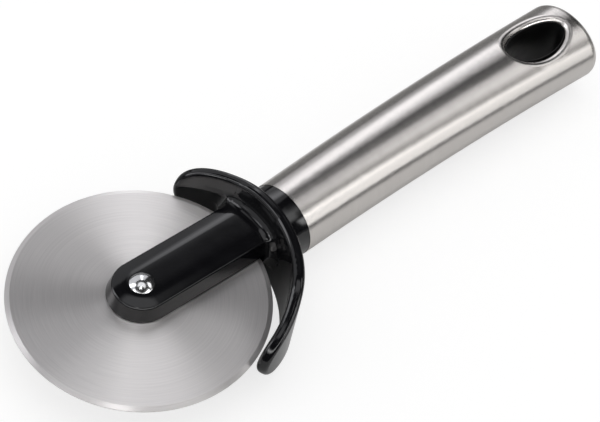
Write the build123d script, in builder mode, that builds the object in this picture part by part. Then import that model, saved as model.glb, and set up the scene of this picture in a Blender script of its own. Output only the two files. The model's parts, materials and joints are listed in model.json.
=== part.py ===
from build123d import *
from math import cos, degrees, radians, sin
import os

# A pizza cutter wheel lying on its side: a steel blade spinning on a rivet between the two arms of
# a black moulded fork, whose tang is fixed in a bowed, tapered steel handle with a hanging hole.
# Millimetres. +X runs from the blade to the butt of the handle, +Z is the blade's axis, and +Y is
# the side of the thumb rest. The origin is under the middle of the part, on the surface it lies on.

# Blade
blade_diameter = 65.0
blade_thickness = 1.0
bevel_width = 1.2
edge_thickness = 0.25

# Rivet and hub
shank_diameter = 5.0
rivet_head_diameter = 6.2
rivet_head_edge = 0.3
rivet_dome_rise = 1.15
rivet_seat_depth = 0.25
rivet_seat_clearance = 0.2
pin_diameter = 2.6
pin_length = 4.5
pin_chamfer = 0.3
pin_end_gap = 0.4
bush_outer_diameter = 8.0
bush_flange_diameter = 12.0
bush_flange_thickness = 0.9
bush_edge = 0.2
running_clearance = 0.05
side_clearance = 0.1
fixed_clearance = 0.02

# Arms of the fork, widest at the blade
arm_width = 17.5
arm_draft = 17.0
arm_top_height = 5.2
blade_gap = 0.35
slot_edge_clearance = 1.2
arm_bevel_width = 3.0
arm_bevel_drop = 0.45
arm_edge_radius = 0.6
arm_crown_radius = 12.0
bush_pocket_clearance = 0.3
arm_root_radius = 2.6

# Guard: a curved plate, with a thumb rest on the +Y side and a finger guard on the -Y side
guard_center_offset_x = 5.6
guard_center_offset_y = 1.2
guard_tip_gap = 0.6
guard_thickness = 3.1
guard_half_height = 12.0
guard_edge_radius = 1.2
thumb_end_angle = 46.6
thumb_view_angle = 30.0
finger_end_angle = 81.5
finger_view_angle = 66.0
blank_end_angle = 4.0
thumb_trim_length = 24.0
finger_trim_length = 21.0

# Neck and tang of the fork
neck_shown_length = 4.55
neck_step = 0.12
neck_flare_length = 11.0
neck_flare_width = 32.0
neck_flare_height = 21.5
tang_land_length = 9.0
tang_length = 38.0
tang_web_thickness = 2.4
tang_web_clearance = 1.0
tang_disc_thickness = 2.5
tang_taper_clearance = 0.15

# Handle
mouth_diameter = 20.7
butt_width = 25.7
butt_height = 19.8
handle_offset_y = 2.1
tube_length = 112.2
handle_pitch = 3.63
bow_radius = 1616.0
tube_wall = 0.8
cap_length = 3.4
cap_edge_radius = 3.0

# Hanging hole
hole_length = 22.4
hole_width = 11.2
hole_end_land = 3.0
hole_roll_radius = 1.8
liner_setback = 1.7
liner_wall = 1.5
liner_step = 0.3

# How far cutting tools run past what they cut
overrun = 1.0

# Half-heights of each horn as shares of the guard's, at shares of the way along its trimmed stretch
thumb_outline_shares = [(0.0, 1.0), (0.38, 0.89), (0.68, 0.755), (0.89, 0.52), (1.0, 0.0)]
finger_outline_shares = [(0.0, 1.0), (0.25, 0.89), (0.62, 0.62), (0.86, 0.44), (1.0, 0.0)]
handle_station_shares = [0.0, 0.25, 0.5, 0.75, 1.0]

# Growth of the neck towards the guard, as shares of its flare, at shares of the flare's length
neck_flare_shares = [(0.0, 0.0), (0.25, 0.04), (0.5, 0.19), (0.75, 0.5), (1.0, 1.0)]

blade_radius = blade_diameter / 2
mouth_radius = mouth_diameter / 2
handle_length = tube_length + cap_length
hole_distance = tube_length - hole_end_land - hole_length / 2

# The guard's inner face clears the blade's edge by the tip gap at the tip of the finger guard
tip_lean = guard_center_offset_x * cos(radians(finger_end_angle)) + guard_center_offset_y * sin(
    radians(finger_end_angle)
)
guard_inner_radius = (
    (blade_radius + guard_tip_gap) ** 2
    - guard_center_offset_x**2
    - guard_center_offset_y**2
    + tip_lean**2
) ** 0.5 - tip_lean
guard_outer_radius = guard_inner_radius + guard_thickness
guard_radius = guard_inner_radius + guard_thickness / 2
handle_distance = guard_center_offset_x + guard_outer_radius + neck_shown_length


def bow_angle(distance):
    """Direction of the handle's axis in degrees, at a distance from its mouth."""
    return handle_pitch - degrees(distance / bow_radius)


# The blade's centre, which everything else is placed from
butt_reach = handle_distance + bow_radius * (
    sin(radians(handle_pitch)) - sin(radians(bow_angle(handle_length)))
)
finger_reach = guard_center_offset_y + (guard_radius + guard_thickness / 2) * sin(
    radians(finger_end_angle)
)
axle_x = (blade_radius - butt_reach) / 2
axle_y = (finger_reach - blade_radius) / 2
axle_z = guard_half_height
axle = Plane(origin=(axle_x, axle_y, axle_z))
axle_side = Plane(origin=axle.origin, x_dir=(1, 0, 0), z_dir=(0, -1, 0))
axle_side_below = Plane(origin=axle.origin, x_dir=(1, 0, 0), z_dir=(0, 1, 0))
spin_axis = Axis(axle.origin, (0, 0, 1))


def handle_point(distance):
    """Point on the bowed axis of the handle."""
    turned = radians(bow_angle(distance))
    pitch = radians(handle_pitch)
    return (
        axle_x + handle_distance + bow_radius * (sin(pitch) - sin(turned)),
        axle_y - handle_offset_y + bow_radius * (cos(turned) - cos(pitch)),
        axle_z,
    )


def handle_section(distance):
    """Plane across the handle."""
    turned = radians(bow_angle(distance))
    return Plane(
        origin=handle_point(distance),
        x_dir=(-sin(turned), cos(turned), 0),
        z_dir=(cos(turned), sin(turned), 0),
    )


def handle_side(distance):
    """Plane along the handle, its local X on the axis and its local Y towards the thumb rest."""
    turned = radians(bow_angle(distance))
    return Plane(
        origin=handle_point(distance),
        x_dir=(cos(turned), sin(turned), 0),
        z_dir=(0, 0, 1),
    )


def width_radius(distance):
    """Half the tube's width, along the bow, which grows towards the butt."""
    return mouth_radius + (butt_width / 2 - mouth_radius) * distance / tube_length


def height_radius(distance):
    """Half the tube's height, along the blade's axis."""
    return mouth_radius + (butt_height / 2 - mouth_radius) * distance / tube_length


def tapered_core(inset, start, end):
    """Solid that fills the tube, inset from its outer face: round at the mouth, oval at the butt."""
    with BuildPart() as core:
        for share in handle_station_shares:
            distance = start + share * (end - start)
            with BuildSketch(handle_section(distance)):
                Ellipse(width_radius(distance) - inset, height_radius(distance) - inset)
        loft()
    return core.part


# Blade: a disc ground to a double bevel, on a hole for its hub bushes
half_blade = blade_thickness / 2
with BuildPart() as blade:
    with BuildSketch(axle_side):
        with BuildLine():
            Polyline(
                (bush_outer_diameter / 2, -half_blade),
                (blade_radius - bevel_width, -half_blade),
                (blade_radius, -edge_thickness / 2),
                (blade_radius, edge_thickness / 2),
                (blade_radius - bevel_width, half_blade),
                (bush_outer_diameter / 2, half_blade),
                close=True,
            )
        make_face()
    revolve(axis=spin_axis)
blade.part.label = "blade"

# Hub bushes: two alike, each half as thick in the blade's hole as the blade, with a flange outside
hub_bushes = []
for bush_name, side in (("upper_hub_bush", 1), ("lower_hub_bush", -1)):
    bush_plane = Plane(origin=axle.origin, x_dir=(1, 0, 0), z_dir=(0, 0, side))
    with BuildPart() as bush:
        with BuildSketch(bush_plane.offset(half_blade)):
            Circle(bush_flange_diameter / 2)
        extrude(amount=bush_flange_thickness)
        chamfer(bush.edges().filter_by(GeomType.CIRCLE), bush_edge)
        with BuildSketch(bush_plane):
            Circle(bush_outer_diameter / 2)
        extrude(amount=half_blade)
        with BuildSketch(bush_plane):
            Circle(shank_diameter / 2 + running_clearance)
        extrude(amount=half_blade + bush_flange_thickness, mode=Mode.SUBTRACT)
    bush.part.label = bush_name
    hub_bushes.append(bush.part)

# Rivet: a hollow post with a domed head on the upper arm, and a domed cap with a pin from below
seat_height = arm_top_height - rivet_seat_depth
head_radius = rivet_head_diameter / 2
shank_radius = shank_diameter / 2
pin_radius = pin_diameter / 2
dome_radius = (head_radius**2 + rivet_dome_rise**2) / (2 * rivet_dome_rise)


def domed_head(plane):
    """Rivet head seated in its pocket, with the dome on the plane's local +Y side."""
    edge_height = seat_height + rivet_head_edge
    with BuildPart() as head:
        with BuildSketch(plane):
            with BuildLine():
                Polyline((0, seat_height), (head_radius, seat_height), (head_radius, edge_height))
                RadiusArc((head_radius, edge_height), (0, edge_height + rivet_dome_rise), -dome_radius)
                Line((0, edge_height + rivet_dome_rise), (0, seat_height))
            make_face()
        revolve(axis=spin_axis)
    return head.part


with BuildPart() as rivet_post:
    add(domed_head(axle_side))
    with BuildSketch(axle.offset(-seat_height)):
        Circle(shank_radius)
    extrude(amount=2 * seat_height)
    with BuildSketch(axle.offset(-seat_height)):
        Circle(pin_radius + fixed_clearance)
    extrude(amount=pin_length + pin_end_gap, mode=Mode.SUBTRACT)
rivet_post.part.label = "rivet_post"

with BuildPart() as rivet_cap:
    add(domed_head(axle_side_below))
    with BuildSketch(axle.offset(-seat_height)):
        Circle(pin_radius)
    extrude(amount=pin_length)
    chamfer(rivet_cap.edges().filter_by(GeomType.CIRCLE).sort_by(Axis.Z)[-1], pin_chamfer)
rivet_cap.part.label = "rivet_cap"

# Guard: a plate bent round the blade, its two horns trimmed to rounded tongues
guard_center = (guard_center_offset_x, -guard_center_offset_y)
guard_origin = (axle_x + guard_center_offset_x, axle_y - guard_center_offset_y, axle_z)


def horn_view(angle, side):
    """Plane that looks at a horn along its own radius, its local X towards the horn's tip."""
    turned = radians(side * angle)
    return Plane(
        origin=guard_origin,
        x_dir=(-side * sin(turned), side * cos(turned), 0),
        z_dir=(side * cos(turned), side * sin(turned), 0),
    )


def trim_horn(plane, tip, length, shares):
    """Trim the plate to an outline that narrows from its full height to a rounded tip."""
    start = tip - length
    upper = [(start + along * length, height * guard_half_height) for along, height in shares]
    lower = [(along, -height) for along, height in reversed(upper[:-1])]
    with BuildSketch(plane) as outline:
        with BuildLine():
            Spline(*upper, *lower, tangents=[(1, 0), (-1, 0)])
            Polyline(
                (start, -guard_half_height),
                (start - 2 * guard_outer_radius, -guard_half_height),
                (start - 2 * guard_outer_radius, guard_half_height),
                (start, guard_half_height),
            )
        make_face()
    extrude(outline.sketch, amount=2 * guard_outer_radius, both=True, mode=Mode.INTERSECT)


with BuildPart() as guard:
    first_angle = -finger_end_angle - blank_end_angle
    blank_angle = finger_end_angle + thumb_end_angle + 2 * blank_end_angle
    with BuildSketch(axle.offset(-guard_half_height)):
        with BuildLine():
            inner_arc = CenterArc(guard_center, guard_inner_radius, first_angle, blank_angle)
            outer_arc = CenterArc(guard_center, guard_outer_radius, first_angle, blank_angle)
            Line(inner_arc @ 0, outer_arc @ 0)
            Line(inner_arc @ 1, outer_arc @ 1)
        make_face()
    extrude(amount=2 * guard_half_height)
    trim_horn(
        horn_view(thumb_view_angle, 1),
        guard_radius * sin(radians(thumb_end_angle - thumb_view_angle)),
        thumb_trim_length,
        thumb_outline_shares,
    )
    trim_horn(
        horn_view(finger_view_angle, -1),
        guard_radius * sin(radians(finger_end_angle - finger_view_angle)),
        finger_trim_length,
        finger_outline_shares,
    )
    fillet(guard.faces().filter_by(GeomType.CYLINDER).edges(), guard_edge_radius)

# Fork: two arms, the guard, the neck and the tang in one moulding
arm_reach = guard_center_offset_x + guard_radius
arm_root_reach = arm_reach + arm_top_height
arm_edge_height = arm_top_height - arm_bevel_drop * cos(radians(arm_draft))
slot_half_height = half_blade + blade_gap
slot_radius = blade_radius + slot_edge_clearance
pocket_half_height = half_blade + bush_flange_thickness + side_clearance
pocket_radius = bush_flange_diameter / 2 + bush_pocket_clearance
neck_radius = mouth_radius - neck_step
land_radius = height_radius(tang_land_length) - tube_wall - fixed_clearance
web_start = tang_land_length / 2
web_end = tang_length - tang_disc_thickness / 2
web_width = 2 * (mouth_radius - tube_wall - tang_web_clearance)
disc_distance = tang_length - tang_disc_thickness
disc_inset = tube_wall + tang_taper_clearance


def arm_outline(height):
    """Edges of the arms' outline at a height either side of the blade, without the root end."""
    level = [e for e in fork.edges() if abs(abs(e.center().Z - axle_z) - height) < fixed_clearance]
    return ShapeList(e for e in level if e.center().X < axle_x + arm_reach - overrun)


def joined_outline(axis, order):
    """Edges round what stands out of one of the guard's curved faces."""
    plates = fork.faces().filter_by(GeomType.CYLINDER)
    joined = plates.filter_by(lambda face: len(face.inner_wires()) == 1)
    return joined.sort_by(axis)[order].inner_wires()[0].edges()


# Neck: round at the handle's mouth, it flares sideways until it runs into the guard
neck_flare = (neck_flare_width / 2 - neck_radius, neck_flare_height / 2 - neck_radius)
with BuildPart() as neck:
    for along, growth in neck_flare_shares:
        with BuildSketch(handle_section(-along * neck_flare_length)):
            Ellipse(neck_radius + growth * neck_flare[0], neck_radius + growth * neck_flare[1])
    loft()
    with BuildSketch(Plane(origin=guard_origin).offset(-guard_half_height)):
        Circle(guard_radius)
    extrude(amount=2 * guard_half_height, mode=Mode.SUBTRACT)

with BuildPart() as fork:
    with BuildSketch(axle):
        Circle(arm_width / 2)
        with Locations((arm_root_reach / 2, 0)):
            Rectangle(arm_root_reach, arm_width)
    extrude(amount=arm_top_height, both=True, taper=arm_draft)
    split(bisect_by=Plane(origin=(axle_x + arm_reach, axle_y, axle_z), z_dir=(-1, 0, 0)))
    for arm_face in fork.faces().sort_by(Axis.Z)[:: len(fork.faces()) - 1]:
        outline = arm_face.edges().sort_by(Axis.X)[:-1]
        chamfer(outline, arm_bevel_width, arm_bevel_drop, reference=arm_face)
    fillet(arm_outline(arm_edge_height), arm_edge_radius)
    fillet(arm_outline(arm_top_height), arm_crown_radius)
    add(guard.part)
    fillet(joined_outline(Axis.X, 0), arm_root_radius)
    add(neck.part)
    # The slot that the blade runs in, with pockets for the bushes' flanges and seats for the rivet
    with BuildSketch(axle.offset(-slot_half_height)):
        Circle(slot_radius)
        Rectangle(2 * slot_radius, arm_width + 4 * arm_root_radius, mode=Mode.INTERSECT)
    extrude(amount=2 * slot_half_height, mode=Mode.SUBTRACT)
    with BuildSketch(axle.offset(-pocket_half_height)):
        Circle(pocket_radius)
    extrude(amount=2 * pocket_half_height, mode=Mode.SUBTRACT)
    with BuildSketch(axle.offset(-arm_top_height)):
        Circle(shank_radius + fixed_clearance)
    extrude(amount=2 * arm_top_height, mode=Mode.SUBTRACT)
    for seat_side in (-1, 1):
        with BuildSketch(axle.offset(seat_side * seat_height)):
            Circle(head_radius + rivet_seat_clearance)
        extrude(amount=seat_side * (rivet_seat_depth + overrun), mode=Mode.SUBTRACT)
    with BuildSketch(handle_section(0)):
        Circle(land_radius)
    extrude(amount=tang_land_length)
    with BuildSketch(handle_section((web_start + web_end) / 2)):
        Rectangle(web_width, tang_web_thickness)
        Rectangle(tang_web_thickness, web_width)
    extrude(amount=(web_end - web_start) / 2, both=True)
    with BuildSketch(handle_section(disc_distance)):
        Ellipse(width_radius(disc_distance) - disc_inset, height_radius(tang_length) - disc_inset)
    extrude(amount=tang_disc_thickness)
fork.part.label = "fork"

# Handle tube: a tapered, bowed shell with its wall rolled in round the hanging hole on both sides
hole_plane = handle_side(hole_distance)
hole_side_share = hole_width / 2 / width_radius(hole_distance)
hole_side_height = height_radius(hole_distance) * (1 - hole_side_share**2) ** 0.5
hole_mouth_height = hole_side_height - liner_setback
liner_inner_length = hole_length / 2 + liner_step
liner_inner_width = hole_width / 2 + liner_step
liner_outer_length = liner_inner_length + liner_wall
liner_outer_width = liner_inner_width + liner_wall


def rolled_core(inset, start, end):
    """Tube-filling solid with the oval hole through it, the mouths of the hole rolled in."""
    with BuildPart() as rolled:
        add(tapered_core(inset, start, end))
        with BuildSketch(hole_plane.offset(-butt_height)) as oval:
            Ellipse(hole_length / 2 + inset, hole_width / 2 + inset)
        extrude(oval.sketch, amount=2 * butt_height, mode=Mode.SUBTRACT)
        walls = rolled.faces().filter_by(GeomType.EXTRUSION)
        mouths = [e for e in walls.edges() if abs(e.center().Z - axle_z) > hole_mouth_height]
        fillet(mouths, hole_roll_radius - inset)
    return rolled.part


with BuildPart() as handle_tube:
    add(rolled_core(0, 0, tube_length))
    add(rolled_core(tube_wall, -overrun, tube_length + overrun), mode=Mode.SUBTRACT)
    with BuildSketch(hole_plane):
        Ellipse(liner_outer_length + fixed_clearance, liner_outer_width + fixed_clearance)
    extrude(amount=hole_mouth_height, both=True, mode=Mode.SUBTRACT)
handle_tube.part.label = "handle_tube"


def cap_core(inset):
    """Solid that fills the cap, inset from its outer face, with its far edge rounded."""
    with BuildPart() as core:
        with BuildSketch(handle_section(tube_length)):
            Ellipse(butt_width / 2 - inset, butt_height / 2 - inset)
        extrude(amount=cap_length - inset)
        fillet(core.edges().sort_by(Axis.X)[-1], cap_edge_radius - inset)
    return core.part


# Cap that closes the butt, welded edge to edge to the tube
with BuildPart() as handle_end_cap:
    add(cap_core(0))
    add(cap_core(tube_wall), mode=Mode.SUBTRACT)
handle_end_cap.part.label = "handle_end_cap"

# Liner of the hanging hole: an oval sleeve between the rolled mouths
with BuildPart() as hang_hole_liner:
    with BuildSketch(hole_plane):
        Ellipse(liner_outer_length, liner_outer_width)
        Ellipse(liner_inner_length, liner_inner_width, mode=Mode.SUBTRACT)
    extrude(amount=hole_mouth_height, both=True)
hang_hole_liner.part.label = "hang_hole_liner"

os.makedirs("parts", exist_ok=True)
for piece in (
    blade.part,
    *hub_bushes,
    rivet_post.part,
    rivet_cap.part,
    fork.part,
    handle_tube.part,
    handle_end_cap.part,
    hang_hole_liner.part,
):
    export_step(piece, f"parts/{piece.label}.step")
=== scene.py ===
"""The looks of a pizza cutter wheel: brushed steel, chrome and black mouldings, on a pale stage."""

import json
import math

import bpy
from bpy.props import FloatProperty, FloatVectorProperty, PointerProperty
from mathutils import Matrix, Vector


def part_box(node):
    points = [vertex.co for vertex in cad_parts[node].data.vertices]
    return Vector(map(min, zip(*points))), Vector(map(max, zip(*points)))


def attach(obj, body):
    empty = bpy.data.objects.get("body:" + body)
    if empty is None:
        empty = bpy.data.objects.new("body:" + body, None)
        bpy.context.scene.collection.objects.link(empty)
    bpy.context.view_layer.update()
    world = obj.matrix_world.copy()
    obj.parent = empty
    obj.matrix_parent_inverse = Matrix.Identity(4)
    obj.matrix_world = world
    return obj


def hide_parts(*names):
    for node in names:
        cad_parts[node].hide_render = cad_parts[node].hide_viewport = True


bl_info = {
    "name": "Pizza Cutter Wheel",
    "version": (1, 0),
    "blender": (4, 5, 0),
    "location": "View3D > Sidebar > Pizza Cutter",
    "description": "Finishes a pizza cutter wheel in brushed steel and black plastic",
    "category": "Object",
}

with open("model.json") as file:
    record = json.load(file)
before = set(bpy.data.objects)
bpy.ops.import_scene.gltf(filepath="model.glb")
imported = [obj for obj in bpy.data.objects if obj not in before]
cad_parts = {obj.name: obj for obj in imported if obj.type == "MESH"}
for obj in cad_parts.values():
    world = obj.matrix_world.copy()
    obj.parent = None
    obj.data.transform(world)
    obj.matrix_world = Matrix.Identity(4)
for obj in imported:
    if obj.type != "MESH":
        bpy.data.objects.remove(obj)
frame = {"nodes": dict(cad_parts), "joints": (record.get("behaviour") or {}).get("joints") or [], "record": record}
AXLE = tuple(frame["joints"][0]["pos_m"])
HOLE = tuple(frame["record"]["mounts"][0]["pos_m"])
MM = 0.001

# The studio that polished surfaces mirror: soft panels, each with the azimuth and elevation of its
# middle, half its width and height and its soft edge in degrees, how far its sides lean, and its
# brightness. Azimuth 0 is +X and azimuth 90 is +Y.
STUDIO_PANELS = (
    ("finger side panel", -53, 18, 5.3, 11.5, 4, -0.64, 3.8),
    ("handle end panel", -18, 43, 18, 9.2, 6, -0.6, 1.8),
    ("thumb side panel", 98, 29, 68, 22.3, 1.5, 0.0, 0.66),
    ("thumb side core", 50.8, 32.6, 5.3, 18.3, 5.8, 0.0, 2.66),
    ("blade side panel", 129, 33.6, 10.8, 23.5, 4, 0.0, 2.9),
    ("overhead panel", 213.5, 84.5, 15.4, 14, 3, 0.0, 5.9),
    ("camera side panel", 233, 39.8, 71, 4.8, 6.3, 0.0, 5.4),
    ("zenith panel", 42, 82.7, 117, 15.3, 4.2, 0.0, 1.03),
)

# Brightness between the panels. The tints colour what is mirrored from the finger guard's side, -Y,
# and from the thumb rest's side, +Y, and change over between two values of the direction's Y.
STUDIO_DARK = 0.03
FINGER_SIDE_TINT = (1.0, 1.0, 1.0)
THUMB_SIDE_TINT = (0.98, 0.985, 1.02)
TINT_CHANGE = (-0.4, 0.4)

# Noise lies mostly within this range
NOISE_RANGE = (0.3, 0.7)

# Faint unevenness of each moulded or polished finish: its size and its depth
UNEVENNESS = {
    "rivet chrome": (1.5 * MM, 0.02 * MM),
    "bush plastic": (1.0 * MM, 0.01 * MM),
    "fork plastic": (4.0 * MM, 0.005 * MM),
    "liner plastic": (2.0 * MM, 0.01 * MM),
}

# Share by which streaks or unevenness darken and lighten a finish. A moulding's roughness changes
# by the same share, brushed steel's by a fixed amount, and chrome's between two values.
STREAK_SHADE = 0.04
MOULDING_SHADE = 0.15
CHROME_SHADE = 0.06
STREAK_ROUGHNESS = 0.01
CHROME_ROUGHNESS = (0.1, 0.18)

# How strongly brushing stretches what steel mirrors, and how much wider streaks are than lines
BRUSH_STRETCH = 0.85
STREAK_WIDENING = 3.0

# The crown of an arm falls with this power of the distance from the arm's middle
CROWN_POWER = 4.0

# The sleeve: sides of its oval, its lips' rounding as a share of its wall, and the angles above
# which an edge is rounded and below which it is shaded smooth
OVAL_SIDES = 160
LIP_SHARE = 0.25
LIP_ANGLE = math.radians(50.0)
SMOOTH_ANGLE = math.radians(40.0)


class CutterStage(bpy.types.PropertyGroup):
    """Floor, lamp and camera."""

    floor_color: FloatVectorProperty(
        name="Floor Colour",
        description="Colour of the pale floor",
        subtype="COLOR",
        default=(0.82, 0.82, 0.82),
    )
    floor_size: FloatProperty(
        name="Floor Size",
        description="Width of the floor",
        unit="LENGTH",
        default=8.0,
    )
    floor_seen: FloatVectorProperty(
        name="Floor Seen",
        description="Colour of the floor for the camera, below its lift",
        subtype="COLOR",
        default=(0.35, 0.35, 0.35),
    )
    floor_lift: FloatProperty(
        name="Floor Lift",
        description="Brightness that brings the lit floor up to the white of the backdrop",
        default=0.72,
    )
    board_length: FloatProperty(
        name="Board Length",
        description="Length of the pale board that the steel mirrors",
        unit="LENGTH",
        default=0.7,
    )
    board_width: FloatProperty(
        name="Board Width",
        description="Width of the pale board that the steel mirrors",
        unit="LENGTH",
        default=0.2,
    )
    board_place: FloatVectorProperty(
        name="Board Place",
        description="Middle of the pale board",
        subtype="TRANSLATION",
        default=(0.0, -0.06, 0.0),
    )
    board_soft_edge: FloatProperty(
        name="Board Soft Edge",
        description="How softly the board's edges fade",
        unit="LENGTH",
        default=0.008,
    )
    beyond_board: FloatProperty(
        name="Beyond Board",
        description="Brightness that the steel mirrors from beyond the board",
        default=0.24,
    )
    room_light: FloatProperty(
        name="Room Light",
        description="Brightness of the light that comes from all round",
        default=0.62,
    )
    lamp_power: FloatProperty(
        name="Lamp Power",
        description="Power of the large soft lamp overhead",
        unit="POWER",
        default=2.2,
    )
    lamp_size: FloatProperty(
        name="Lamp Size",
        description="Width of the soft lamp",
        unit="LENGTH",
        default=0.9,
    )
    lamp_place: FloatVectorProperty(
        name="Lamp Place",
        description="Where the soft lamp hangs",
        subtype="TRANSLATION",
        default=(0.05, 0.12, 0.9),
    )
    camera_place: FloatVectorProperty(
        name="Camera Place",
        description="Where the camera stands",
        subtype="TRANSLATION",
        default=(-0.2070, -0.15134, 0.31325),
    )
    camera_turn: FloatVectorProperty(
        name="Camera Turn",
        description="How the camera is turned",
        subtype="EULER",
        default=(math.radians(38.215), math.radians(-8.838), math.radians(-41.2)),
    )
    camera_lens: FloatProperty(
        name="Lens",
        description="Focal length in millimetres on a frame 36 mm wide",
        default=90.0,
    )


class CutterSteel(bpy.types.PropertyGroup):
    """Brushed and polished steel."""

    blade_color: FloatVectorProperty(
        name="Blade Colour",
        description="Colour of the blade's steel",
        subtype="COLOR",
        default=(0.785, 0.762, 0.75),
    )
    blade_roughness: FloatProperty(
        name="Blade Roughness",
        description="How far the blade's brushing blurs what it mirrors",
        subtype="FACTOR",
        default=0.36,
    )
    handle_color: FloatVectorProperty(
        name="Handle Colour",
        description="Colour of the handle's steel",
        subtype="COLOR",
        default=(0.68, 0.65, 0.625),
    )
    handle_roughness: FloatProperty(
        name="Handle Roughness",
        description="How far the handle's brushing blurs what it mirrors",
        subtype="FACTOR",
        default=0.25,
    )
    brush_spacing: FloatProperty(
        name="Brush Spacing",
        description="Distance between brush lines",
        unit="LENGTH",
        default=0.1 * MM,
    )
    brush_length: FloatProperty(
        name="Brush Length",
        description="Length of a brush line",
        unit="LENGTH",
        default=9.0 * MM,
    )
    brush_depth: FloatProperty(
        name="Brush Depth",
        description="Depth of the brush lines",
        unit="LENGTH",
        default=0.002 * MM,
    )
    chrome_color: FloatVectorProperty(
        name="Chrome Colour",
        description="Colour of the rivet's heads",
        subtype="COLOR",
        default=(0.78, 0.78, 0.79),
    )


class CutterPlastic(bpy.types.PropertyGroup):
    """Black mouldings."""

    gloss_color: FloatVectorProperty(
        name="Fork Colour",
        description="Colour of the glossy fork",
        subtype="COLOR",
        default=(0.004, 0.004, 0.005),
    )
    gloss_roughness: FloatProperty(
        name="Fork Roughness",
        description="Roughness of the glossy fork",
        subtype="FACTOR",
        default=0.09,
    )
    crown_reach: FloatProperty(
        name="Crown Reach",
        description="Distance from the middle of an arm to the edge of its crowned face",
        unit="LENGTH",
        default=7.2 * MM,
    )
    crown_height: FloatProperty(
        name="Crown Height",
        description="How far an arm's crowned face falls towards its edge",
        unit="LENGTH",
        default=0.3 * MM,
    )
    crown_root: FloatProperty(
        name="Crown Root",
        description="Distance from the axle at which the crown has faded into the guard",
        unit="LENGTH",
        default=40.0 * MM,
    )
    sleeve_length: FloatProperty(
        name="Sleeve Length",
        description="Outer length of the oval sleeve in the hanging hole",
        unit="LENGTH",
        default=22.36 * MM,
    )
    sleeve_width: FloatProperty(
        name="Sleeve Width",
        description="Outer width of the oval sleeve in the hanging hole",
        unit="LENGTH",
        default=11.16 * MM,
    )
    sleeve_wall: FloatProperty(
        name="Sleeve Wall",
        description="Wall of the oval sleeve",
        unit="LENGTH",
        default=0.15 * MM,
    )
    sleeve_depth: FloatProperty(
        name="Sleeve Depth",
        description="How deep the sleeve's lips lie below the handle's surface",
        unit="LENGTH",
        default=1.2 * MM,
    )
    satin_color: FloatVectorProperty(
        name="Liner Colour",
        description="Colour of the satin liner and of the bushes",
        subtype="COLOR",
        default=(0.003, 0.003, 0.003),
    )
    liner_roughness: FloatProperty(
        name="Liner Roughness",
        description="Roughness of the satin liner",
        subtype="FACTOR",
        default=0.4,
    )
    bush_roughness: FloatProperty(
        name="Bush Roughness",
        description="Roughness of the matt bushes",
        subtype="FACTOR",
        default=0.5,
    )


def opaque(color):
    """A colour with full opacity, as a shader's socket takes it."""
    return (*color, 1.0)


def math_node(nodes, links, operation, first, second=0.0):
    """Output of a Math node on two values or sockets."""
    node = nodes.new("ShaderNodeMath")
    node.operation = operation
    for socket, value in zip(node.inputs, (first, second)):
        if isinstance(value, (int, float)):
            socket.default_value = value
        else:
            links.new(value, socket)
    return node.outputs[0]


def new_material(name):
    """An empty material with its Principled shader."""
    material = bpy.data.materials.new(name)
    material.use_nodes = True
    nodes = material.node_tree.nodes
    return material, nodes, material.node_tree.links, nodes["Principled BSDF"]


def dress(node, material):
    """Give a CAD node its material."""
    piece = frame["nodes"][node]
    for place in piece.material_slots:
        place.material = material
    if not piece.material_slots:
        piece.data.materials.append(material)


def centred(nodes, links, centre):
    """Object coordinates measured from a point, as X, Y and Z."""
    coordinates = nodes.new("ShaderNodeTexCoord")
    mapping = nodes.new("ShaderNodeMapping")
    mapping.inputs["Location"].default_value = [-value for value in centre]
    links.new(coordinates.outputs["Object"], mapping.inputs["Vector"])
    split = nodes.new("ShaderNodeSeparateXYZ")
    links.new(mapping.outputs["Vector"], split.inputs[0])
    return split.outputs


def brushing_group():
    """Node group of brush lines: fine lines as a height, and broad streaks as a shade."""
    name = "brush lines"
    if name in bpy.data.node_groups:
        return bpy.data.node_groups[name]
    group = bpy.data.node_groups.new(name, "ShaderNodeTree")
    for socket, kind in (
        ("Across", "NodeSocketFloat"),
        ("Along", "NodeSocketVector"),
        ("Spacing", "NodeSocketFloat"),
        ("Length", "NodeSocketFloat"),
    ):
        group.interface.new_socket(name=socket, in_out="INPUT", socket_type=kind)
    for socket in ("Height", "Streaks"):
        group.interface.new_socket(name=socket, in_out="OUTPUT", socket_type="NodeSocketFloat")
    nodes, links = group.nodes, group.links
    entry = nodes.new("NodeGroupInput")
    leave = nodes.new("NodeGroupOutput")
    for output, widening in (("Height", 1.0), ("Streaks", STREAK_WIDENING)):
        spacing = math_node(nodes, links, "MULTIPLY", entry.outputs["Spacing"], widening)
        across = math_node(nodes, links, "DIVIDE", entry.outputs["Across"], spacing)
        shrink = math_node(nodes, links, "DIVIDE", 1.0, entry.outputs["Length"])
        along = nodes.new("ShaderNodeVectorMath")
        along.operation = "SCALE"
        links.new(entry.outputs["Along"], along.inputs[0])
        links.new(shrink, along.inputs["Scale"])
        offset = nodes.new("ShaderNodeCombineXYZ")
        links.new(across, offset.inputs["X"])
        point = nodes.new("ShaderNodeVectorMath")
        point.operation = "ADD"
        links.new(along.outputs[0], point.inputs[0])
        links.new(offset.outputs[0], point.inputs[1])
        noise = nodes.new("ShaderNodeTexNoise")
        noise.inputs["Scale"].default_value = 1.0
        noise.inputs["Detail"].default_value = 2.0
        links.new(point.outputs[0], noise.inputs["Vector"])
        links.new(noise.outputs["Fac"], leave.inputs[output])
    return group


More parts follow.
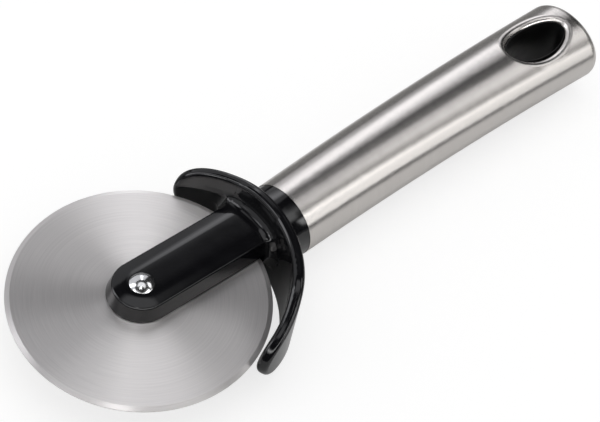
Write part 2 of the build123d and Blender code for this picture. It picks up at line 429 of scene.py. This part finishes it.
def smudge_group():
    """Node group of the faint unevenness that handling and moulding leave, from 0 to 1."""
    name = "faint unevenness"
    if name in bpy.data.node_groups:
        return bpy.data.node_groups[name]
    group = bpy.data.node_groups.new(name, "ShaderNodeTree")
    group.interface.new_socket(name="Size", in_out="INPUT", socket_type="NodeSocketFloat")
    group.interface.new_socket(name="Shade", in_out="OUTPUT", socket_type="NodeSocketFloat")
    nodes, links = group.nodes, group.links
    entry = nodes.new("NodeGroupInput")
    leave = nodes.new("NodeGroupOutput")
    coordinates = nodes.new("ShaderNodeTexCoord")
    noise = nodes.new("ShaderNodeTexNoise")
    noise.inputs["Detail"].default_value = 3.0
    links.new(coordinates.outputs["Object"], noise.inputs["Vector"])
    links.new(math_node(nodes, links, "DIVIDE", 1.0, entry.outputs["Size"]), noise.inputs["Scale"])
    links.new(noise.outputs["Fac"], leave.inputs["Shade"])
    return group


def place_group(nodes, group, **values):
    """Place a node group in a material with its values."""
    node = nodes.new("ShaderNodeGroup")
    node.node_tree = group
    for name, value in values.items():
        node.inputs[name].default_value = value
    return node


def ranged(nodes, links, value, low, high):
    """A noise's value spread over a range."""
    node = nodes.new("ShaderNodeMapRange")
    node.inputs["From Min"].default_value = NOISE_RANGE[0]
    node.inputs["From Max"].default_value = NOISE_RANGE[1]
    node.inputs["To Min"].default_value = low
    node.inputs["To Max"].default_value = high
    links.new(value, node.inputs["Value"])
    return node.outputs[0]


def bumped(nodes, links, target, height, depth):
    """Feed a height to the normal of a shader or of another bump."""
    bump = nodes.new("ShaderNodeBump")
    bump.inputs["Strength"].default_value = 1.0
    bump.inputs["Distance"].default_value = depth
    links.new(height, bump.inputs["Height"])
    links.new(bump.outputs["Normal"], target.inputs["Normal"])


def shaded(nodes, links, shader, color, value, spread):
    """Feed a colour that a value darkens and lightens a little."""
    mix = nodes.new("ShaderNodeMix")
    mix.data_type = "RGBA"
    for socket, share in (("A", 1.0 - spread), ("B", 1.0 + spread)):
        mix.inputs[socket].default_value = opaque([min(channel * share, 1.0) for channel in color])
    links.new(ranged(nodes, links, value, 0.0, 1.0), mix.inputs["Factor"])
    links.new(mix.outputs["Result"], shader.inputs["Base Color"])


def brushed_steel(name, color, roughness, centre, circular):
    """Brushed steel, its lines round a centre on a disc, or across a bar along X."""
    steel = bpy.context.scene.cutter_steel
    material, nodes, links, shader = new_material(name)
    parts = centred(nodes, links, centre)
    lines = place_group(
        nodes, brushing_group(), Spacing=steel.brush_spacing, Length=steel.brush_length
    )
    flat = nodes.new("ShaderNodeCombineXYZ")
    if circular:
        links.new(parts["X"], flat.inputs["X"])
        links.new(parts["Y"], flat.inputs["Y"])
        radius = nodes.new("ShaderNodeVectorMath")
        radius.operation = "LENGTH"
        links.new(flat.outputs[0], radius.inputs[0])
        links.new(radius.outputs["Value"], lines.inputs["Across"])
        spread = nodes.new("ShaderNodeVectorMath")
        spread.operation = "NORMALIZE"
        links.new(flat.outputs[0], spread.inputs[0])
        links.new(spread.outputs[0], shader.inputs["Tangent"])
        links.new(flat.outputs[0], lines.inputs["Along"])
    else:
        links.new(parts["X"], lines.inputs["Across"])
        links.new(parts["Y"], flat.inputs["Y"])
        links.new(parts["Z"], flat.inputs["Z"])
        links.new(flat.outputs[0], lines.inputs["Along"])
        spread = nodes.new("ShaderNodeCombineXYZ")
        spread.inputs["X"].default_value = 1.0
        links.new(spread.outputs[0], shader.inputs["Tangent"])
    shader.inputs["Metallic"].default_value = 1.0
    shader.inputs["Anisotropic"].default_value = BRUSH_STRETCH
    streaks = lines.outputs["Streaks"]
    shaded(nodes, links, shader, color, streaks, STREAK_SHADE)
    low, high = roughness - STREAK_ROUGHNESS, roughness + STREAK_ROUGHNESS
    links.new(ranged(nodes, links, streaks, low, high), shader.inputs["Roughness"])
    bumped(nodes, links, shader, lines.outputs["Height"], steel.brush_depth)
    return material


def moulded_plastic(name, color, roughness):
    """Black plastic with the faint waviness of a moulding."""
    material, nodes, links, shader = new_material(name)
    size, depth = UNEVENNESS[name]
    faint = place_group(nodes, smudge_group(), Size=size).outputs["Shade"]
    shaded(nodes, links, shader, color, faint, MOULDING_SHADE)
    low, high = roughness * (1.0 - MOULDING_SHADE), roughness * (1.0 + MOULDING_SHADE)
    links.new(ranged(nodes, links, faint, low, high), shader.inputs["Roughness"])
    bumped(nodes, links, shader, faint, depth)
    return material


class CUTTER_OT_finish_blade(bpy.types.Operator):
    """Brush the blade in circles round its axle"""

    bl_idname = "cutter.finish_blade"
    bl_label = "Finish Blade"

    def execute(self, context):
        steel = context.scene.cutter_steel
        material = brushed_steel(
            "blade steel", steel.blade_color, steel.blade_roughness, AXLE, circular=True
        )
        dress("blade", material)
        return {"FINISHED"}


class CUTTER_OT_finish_rivet(bpy.types.Operator):
    """Polish the two heads of the rivet"""

    bl_idname = "cutter.finish_rivet"
    bl_label = "Finish Rivet"

    def execute(self, context):
        steel = context.scene.cutter_steel
        material, nodes, links, shader = new_material("rivet chrome")
        size, depth = UNEVENNESS["rivet chrome"]
        faint = place_group(nodes, smudge_group(), Size=size).outputs["Shade"]
        shader.inputs["Metallic"].default_value = 1.0
        shaded(nodes, links, shader, steel.chrome_color, faint, CHROME_SHADE)
        links.new(ranged(nodes, links, faint, *CHROME_ROUGHNESS), shader.inputs["Roughness"])
        bumped(nodes, links, shader, faint, depth)
        for node in ("rivet_post", "rivet_cap"):
            dress(node, material)
        return {"FINISHED"}


class CUTTER_OT_finish_bushes(bpy.types.Operator):
    """Give the hub's bushes their matt plastic"""

    bl_idname = "cutter.finish_bushes"
    bl_label = "Finish Bushes"

    def execute(self, context):
        plastic = context.scene.cutter_plastic
        material = moulded_plastic("bush plastic", plastic.satin_color, plastic.bush_roughness)
        for node in ("upper_hub_bush", "lower_hub_bush"):
            dress(node, material)
        return {"FINISHED"}


def crown(nodes, links, shader, plastic):
    """Round the arms' faces softly towards their edges, under the moulding's waviness."""
    parts = centred(nodes, links, AXLE)
    across = nodes.new("ShaderNodeCombineXYZ")
    links.new(math_node(nodes, links, "MINIMUM", parts["X"], 0.0), across.inputs["X"])
    links.new(parts["Y"], across.inputs["Y"])
    distance = nodes.new("ShaderNodeVectorMath")
    distance.operation = "LENGTH"
    links.new(across.outputs[0], distance.inputs[0])
    share = math_node(nodes, links, "DIVIDE", distance.outputs["Value"], plastic.crown_reach)
    share = math_node(nodes, links, "MINIMUM", share, 1.0)
    fall = math_node(nodes, links, "POWER", share, CROWN_POWER)
    fade = nodes.new("ShaderNodeMapRange")
    fade.interpolation_type = "SMOOTHSTEP"
    fade.inputs["From Min"].default_value = plastic.crown_root
    fade.inputs["From Max"].default_value = plastic.crown_root - plastic.crown_reach
    links.new(parts["X"], fade.inputs["Value"])
    waviness = shader.inputs["Normal"].links[0].from_node
    height = math_node(nodes, links, "MULTIPLY", fall, fade.outputs[0])
    bumped(nodes, links, waviness, height, -plastic.crown_height)


class CUTTER_OT_finish_fork(bpy.types.Operator):
    """Give the fork its glossy moulded plastic"""

    bl_idname = "cutter.finish_fork"
    bl_label = "Finish Fork"

    def execute(self, context):
        plastic = context.scene.cutter_plastic
        material = moulded_plastic("fork plastic", plastic.gloss_color, plastic.gloss_roughness)
        tree = material.node_tree
        crown(tree.nodes, tree.links, tree.nodes["Principled BSDF"], plastic)
        dress("fork", material)
        return {"FINISHED"}


class CUTTER_OT_finish_handle(bpy.types.Operator):
    """Brush the handle and its end cap"""

    bl_idname = "cutter.finish_handle"
    bl_label = "Finish Handle"

    def execute(self, context):
        steel = context.scene.cutter_steel
        material = brushed_steel(
            "handle steel", steel.handle_color, steel.handle_roughness, HOLE, circular=False
        )
        for node in ("handle_tube", "handle_end_cap"):
            dress(node, material)
        return {"FINISHED"}


def oval_cylinder(half_length, half_width, depth, turn, fill):
    """An oval cylinder round the middle of the hanging hole, its place in its mesh."""
    bpy.ops.object.select_all(action="DESELECT")
    bpy.ops.mesh.primitive_cylinder_add(
        vertices=OVAL_SIDES,
        radius=1.0,
        depth=depth,
        end_fill_type=fill,
        location=HOLE,
        rotation=(0.0, turn, 0.0),
        scale=(half_length, half_width, 1.0),
    )
    bpy.ops.object.transform_apply(location=True, rotation=True, scale=True)
    return bpy.context.active_object


class CUTTER_OT_line_hole(bpy.types.Operator):
    """Line the hanging hole with an oval sleeve whose lips follow the handle's surface"""

    bl_idname = "cutter.line_hole"
    bl_label = "Line Hole"

    def execute(self, context):
        plastic = context.scene.cutter_plastic
        low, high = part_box("handle_end_cap")
        tall, wide = high[2] - low[2], high[1] - low[1]
        # The handle's section, inset by the lips' depth, and longer than the sleeve that it trims
        depth = plastic.sleeve_depth
        section = oval_cylinder(
            half_length=tall / 2 - depth,
            half_width=wide / 2 - depth,
            depth=plastic.sleeve_length * 1.5,
            turn=math.pi / 2,
            fill="NGON",
        )
        sleeve = oval_cylinder(
            half_length=plastic.sleeve_length / 2,
            half_width=plastic.sleeve_width / 2,
            depth=tall,
            turn=0.0,
            fill="NOTHING",
        )
        sleeve.name = "hanging_hole_sleeve"
        wall = sleeve.modifiers.new("wall", "SOLIDIFY")
        wall.thickness = plastic.sleeve_wall
        wall.offset = -1.0
        wall.use_even_offset = True
        trim = sleeve.modifiers.new("trim", "BOOLEAN")
        trim.operation = "INTERSECT"
        trim.solver = "EXACT"
        trim.object = section
        lips = sleeve.modifiers.new("lips", "BEVEL")
        lips.width = plastic.sleeve_wall * LIP_SHARE
        lips.segments = 2
        lips.limit_method = "ANGLE"
        lips.angle_limit = LIP_ANGLE
        for modifier in ("wall", "trim", "lips"):
            bpy.ops.object.modifier_apply(modifier=modifier)
        bpy.ops.object.shade_smooth_by_angle(angle=SMOOTH_ANGLE)
        bpy.data.objects.remove(section)
        material = moulded_plastic("liner plastic", plastic.satin_color, plastic.liner_roughness)
        sleeve.data.materials.append(material)
        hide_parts("hang_hole_liner")
        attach(sleeve, "tool")
        return {"FINISHED"}


def panel_group():
    """Node group of one soft panel in the studio, as the light it sends from a direction."""
    name = "soft panel"
    if name in bpy.data.node_groups:
        return bpy.data.node_groups[name]
    group = bpy.data.node_groups.new(name, "ShaderNodeTree")
    for socket in (
        "Around",
        "Above",
        "Azimuth",
        "Elevation",
        "Half Width",
        "Half Height",
        "Softness",
        "Lean",
        "Brightness",
    ):
        group.interface.new_socket(name=socket, in_out="INPUT", socket_type="NodeSocketFloat")
    group.interface.new_socket(name="Light", in_out="OUTPUT", socket_type="NodeSocketFloat")
    nodes, links = group.nodes, group.links
    entry = nodes.new("NodeGroupInput").outputs
    leave = nodes.new("NodeGroupOutput")
    rise = math_node(nodes, links, "SUBTRACT", entry["Above"], entry["Elevation"])
    lean = math_node(nodes, links, "MULTIPLY", rise, entry["Lean"])
    side = math_node(nodes, links, "SUBTRACT", entry["Around"], entry["Azimuth"])
    turn = nodes.new("ShaderNodeMath")
    turn.operation = "WRAP"
    links.new(math_node(nodes, links, "ADD", side, lean), turn.inputs[0])
    turn.inputs[1].default_value = -math.pi
    turn.inputs[2].default_value = math.pi
    light = entry["Brightness"]
    for offset, half in ((turn.outputs[0], "Half Width"), (rise, "Half Height")):
        inside = math_node(
            nodes, links, "SUBTRACT", entry[half], math_node(nodes, links, "ABSOLUTE", offset)
        )
        step = nodes.new("ShaderNodeMapRange")
        step.interpolation_type = "SMOOTHSTEP"
        links.new(inside, step.inputs["Value"])
        links.new(
            math_node(nodes, links, "MULTIPLY", entry["Softness"], -1.0), step.inputs["From Min"]
        )
        links.new(entry["Softness"], step.inputs["From Max"])
        light = math_node(nodes, links, "MULTIPLY", light, step.outputs[0])
    links.new(light, leave.inputs["Light"])
    return group


def studio_world(stage):
    """White room for the camera, panels and dark gaps for what mirrors, plain light elsewhere."""
    world = bpy.data.worlds.new("pale studio")
    bpy.context.scene.world = world
    world.use_nodes = True
    nodes, links = world.node_tree.nodes, world.node_tree.links
    nodes.clear()
    coordinates = nodes.new("ShaderNodeTexCoord")
    split = nodes.new("ShaderNodeSeparateXYZ")
    links.new(coordinates.outputs["Generated"], split.inputs[0])
    around = math_node(nodes, links, "ARCTAN2", split.outputs["Y"], split.outputs["X"])
    above = math_node(nodes, links, "ARCSINE", split.outputs["Z"])
    brightness = STUDIO_DARK
    for name, *angles, lean, level in STUDIO_PANELS:
        place, height, width, tall, soft = [math.radians(angle) for angle in angles]
        panel = place_group(nodes, panel_group())
        panel.label = name
        links.new(around, panel.inputs["Around"])
        links.new(above, panel.inputs["Above"])
        for socket, value in (
            ("Azimuth", place),
            ("Elevation", height),
            ("Half Width", width),
            ("Half Height", tall),
            ("Softness", soft),
            ("Lean", lean),
            ("Brightness", level),
        ):
            panel.inputs[socket].default_value = value
        brightness = math_node(nodes, links, "MAXIMUM", brightness, panel.outputs["Light"])
    tint = nodes.new("ShaderNodeMix")
    tint.data_type = "RGBA"
    tint.inputs["A"].default_value = opaque(FINGER_SIDE_TINT)
    tint.inputs["B"].default_value = opaque(THUMB_SIDE_TINT)
    side = nodes.new("ShaderNodeMapRange")
    side.inputs["From Min"].default_value = TINT_CHANGE[0]
    side.inputs["From Max"].default_value = TINT_CHANGE[1]
    links.new(split.outputs["Y"], side.inputs["Value"])
    links.new(side.outputs[0], tint.inputs["Factor"])
    mirrored = nodes.new("ShaderNodeBackground")
    links.new(tint.outputs["Result"], mirrored.inputs["Color"])
    links.new(brightness, mirrored.inputs["Strength"])
    lit = nodes.new("ShaderNodeBackground")
    lit.inputs["Strength"].default_value = stage.room_light
    seen = nodes.new("ShaderNodeBackground")
    for background in (lit, seen):
        background.inputs["Color"].default_value = opaque((1.0, 1.0, 1.0))
    rays = nodes.new("ShaderNodeLightPath")
    glossy = nodes.new("ShaderNodeMixShader")
    links.new(rays.outputs["Is Glossy Ray"], glossy.inputs["Fac"])
    links.new(lit.outputs[0], glossy.inputs[1])
    links.new(mirrored.outputs[0], glossy.inputs[2])
    direct = math_node(
        nodes, links, "MAXIMUM", rays.outputs["Is Camera Ray"], rays.outputs["Is Transmission Ray"]
    )
    final = nodes.new("ShaderNodeMixShader")
    links.new(direct, final.inputs["Fac"])
    links.new(glossy.outputs[0], final.inputs[1])
    links.new(seen.outputs[0], final.inputs[2])
    output = nodes.new("ShaderNodeOutputWorld")
    links.new(final.outputs[0], output.inputs["Surface"])


def floor_material(stage):
    """Pale matt board, lifted to the backdrop's white for the camera and dark beyond its edges."""
    material, nodes, links, shader = new_material("pale floor")
    shader.inputs["Roughness"].default_value = 0.9
    shader.inputs["Specular IOR Level"].default_value = 0.0
    shader.inputs["Emission Color"].default_value = opaque((1.0, 1.0, 1.0))
    rays = nodes.new("ShaderNodeLightPath")
    color = nodes.new("ShaderNodeMix")
    color.data_type = "RGBA"
    color.inputs["A"].default_value = opaque(stage.floor_color)
    color.inputs["B"].default_value = opaque(stage.floor_seen)
    links.new(rays.outputs["Is Camera Ray"], color.inputs["Factor"])
    links.new(color.outputs["Result"], shader.inputs["Base Color"])
    lift = math_node(nodes, links, "MULTIPLY", rays.outputs["Is Camera Ray"], stage.floor_lift)
    links.new(lift, shader.inputs["Emission Strength"])
    parts = centred(nodes, links, stage.board_place)
    outside = 0.0
    for part, half in zip(("X", "Y"), (stage.board_length / 2, stage.board_width / 2)):
        edge = nodes.new("ShaderNodeMapRange")
        edge.interpolation_type = "SMOOTHSTEP"
        links.new(math_node(nodes, links, "ABSOLUTE", parts[part]), edge.inputs["Value"])
        edge.inputs["From Min"].default_value = half - stage.board_soft_edge
        edge.inputs["From Max"].default_value = half + stage.board_soft_edge
        outside = math_node(nodes, links, "MAXIMUM", edge.outputs[0], outside)
    beyond = nodes.new("ShaderNodeEmission")
    beyond.inputs["Strength"].default_value = stage.beyond_board
    mix = nodes.new("ShaderNodeMixShader")
    links.new(
        math_node(nodes, links, "MULTIPLY", outside, rays.outputs["Is Glossy Ray"]),
        mix.inputs["Fac"],
    )
    links.new(shader.outputs[0], mix.inputs[1])
    links.new(beyond.outputs[0], mix.inputs[2])
    links.new(mix.outputs[0], nodes["Material Output"].inputs["Surface"])
    return material


class CUTTER_OT_set_stage(bpy.types.Operator):
    """Lay the pale floor, hang the soft lamp and set the camera"""

    bl_idname = "cutter.set_stage"
    bl_label = "Set Stage"

    def execute(self, context):
        stage = context.scene.cutter_stage
        bpy.ops.object.select_all(action="DESELECT")
        bpy.ops.mesh.primitive_plane_add(size=stage.floor_size, location=(0.0, 0.0, 0.0))
        floor = context.active_object
        floor.name = "floor"
        floor.data.materials.append(floor_material(stage))
        studio_world(stage)
        bpy.ops.object.light_add(type="AREA", location=stage.lamp_place)
        lamp = context.active_object
        lamp.name = "soft_lamp"
        lamp.data.energy = stage.lamp_power
        lamp.data.size = stage.lamp_size
        lamp.visible_glossy = False
        bpy.ops.object.camera_add(location=stage.camera_place, rotation=stage.camera_turn)
        camera = context.active_object
        camera.data.sensor_width = 36.0
        camera.data.lens = stage.camera_lens
        camera.data.clip_start = 0.01
        context.scene.camera = camera
        context.scene.view_settings.view_transform = "Standard"
        return {"FINISHED"}


class CUTTER_PT_panel(bpy.types.Panel):
    """Lists the cutter's finishes and its stage"""

    bl_label = "Pizza Cutter"
    bl_idname = "CUTTER_PT_panel"
    bl_space_type = "VIEW_3D"
    bl_region_type = "UI"
    bl_category = "Pizza Cutter"

    def draw(self, context):
        for operator in OPERATORS:
            self.layout.operator(operator.bl_idname)
        for settings in GROUPS:
            group = getattr(context.scene, settings)
            for name in group.bl_rna.properties.keys():
                if name not in {"rna_type", "name"}:
                    self.layout.prop(group, name)


OPERATORS = (
    CUTTER_OT_finish_blade,
    CUTTER_OT_finish_rivet,
    CUTTER_OT_finish_bushes,
    CUTTER_OT_finish_fork,
    CUTTER_OT_finish_handle,
    CUTTER_OT_line_hole,
    CUTTER_OT_set_stage,
)
GROUPS = {
    "cutter_stage": CutterStage,
    "cutter_steel": CutterSteel,
    "cutter_plastic": CutterPlastic,
}


def register():
    """Register the classes and the scene's settings."""
    for group in GROUPS.values():
        bpy.utils.register_class(group)
    for operator in OPERATORS:
        bpy.utils.register_class(operator)
    bpy.utils.register_class(CUTTER_PT_panel)
    for name, group in GROUPS.items():
        setattr(bpy.types.Scene, name, PointerProperty(type=group))


def unregister():
    """Remove the scene's settings and the classes."""
    for name in GROUPS:
        delattr(bpy.types.Scene, name)
    bpy.utils.unregister_class(CUTTER_PT_panel)
    for operator in reversed(OPERATORS):
        bpy.utils.unregister_class(operator)
    for group in reversed(GROUPS.values()):
        bpy.utils.unregister_class(group)


def main():
    """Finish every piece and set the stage."""
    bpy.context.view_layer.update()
    register()
    bpy.ops.cutter.finish_blade()
    bpy.ops.cutter.finish_rivet()
    bpy.ops.cutter.finish_bushes()
    bpy.ops.cutter.finish_fork()
    bpy.ops.cutter.finish_handle()
    bpy.ops.cutter.line_hole()
    bpy.ops.cutter.set_stage()


if __name__ == "__main__":
    main()
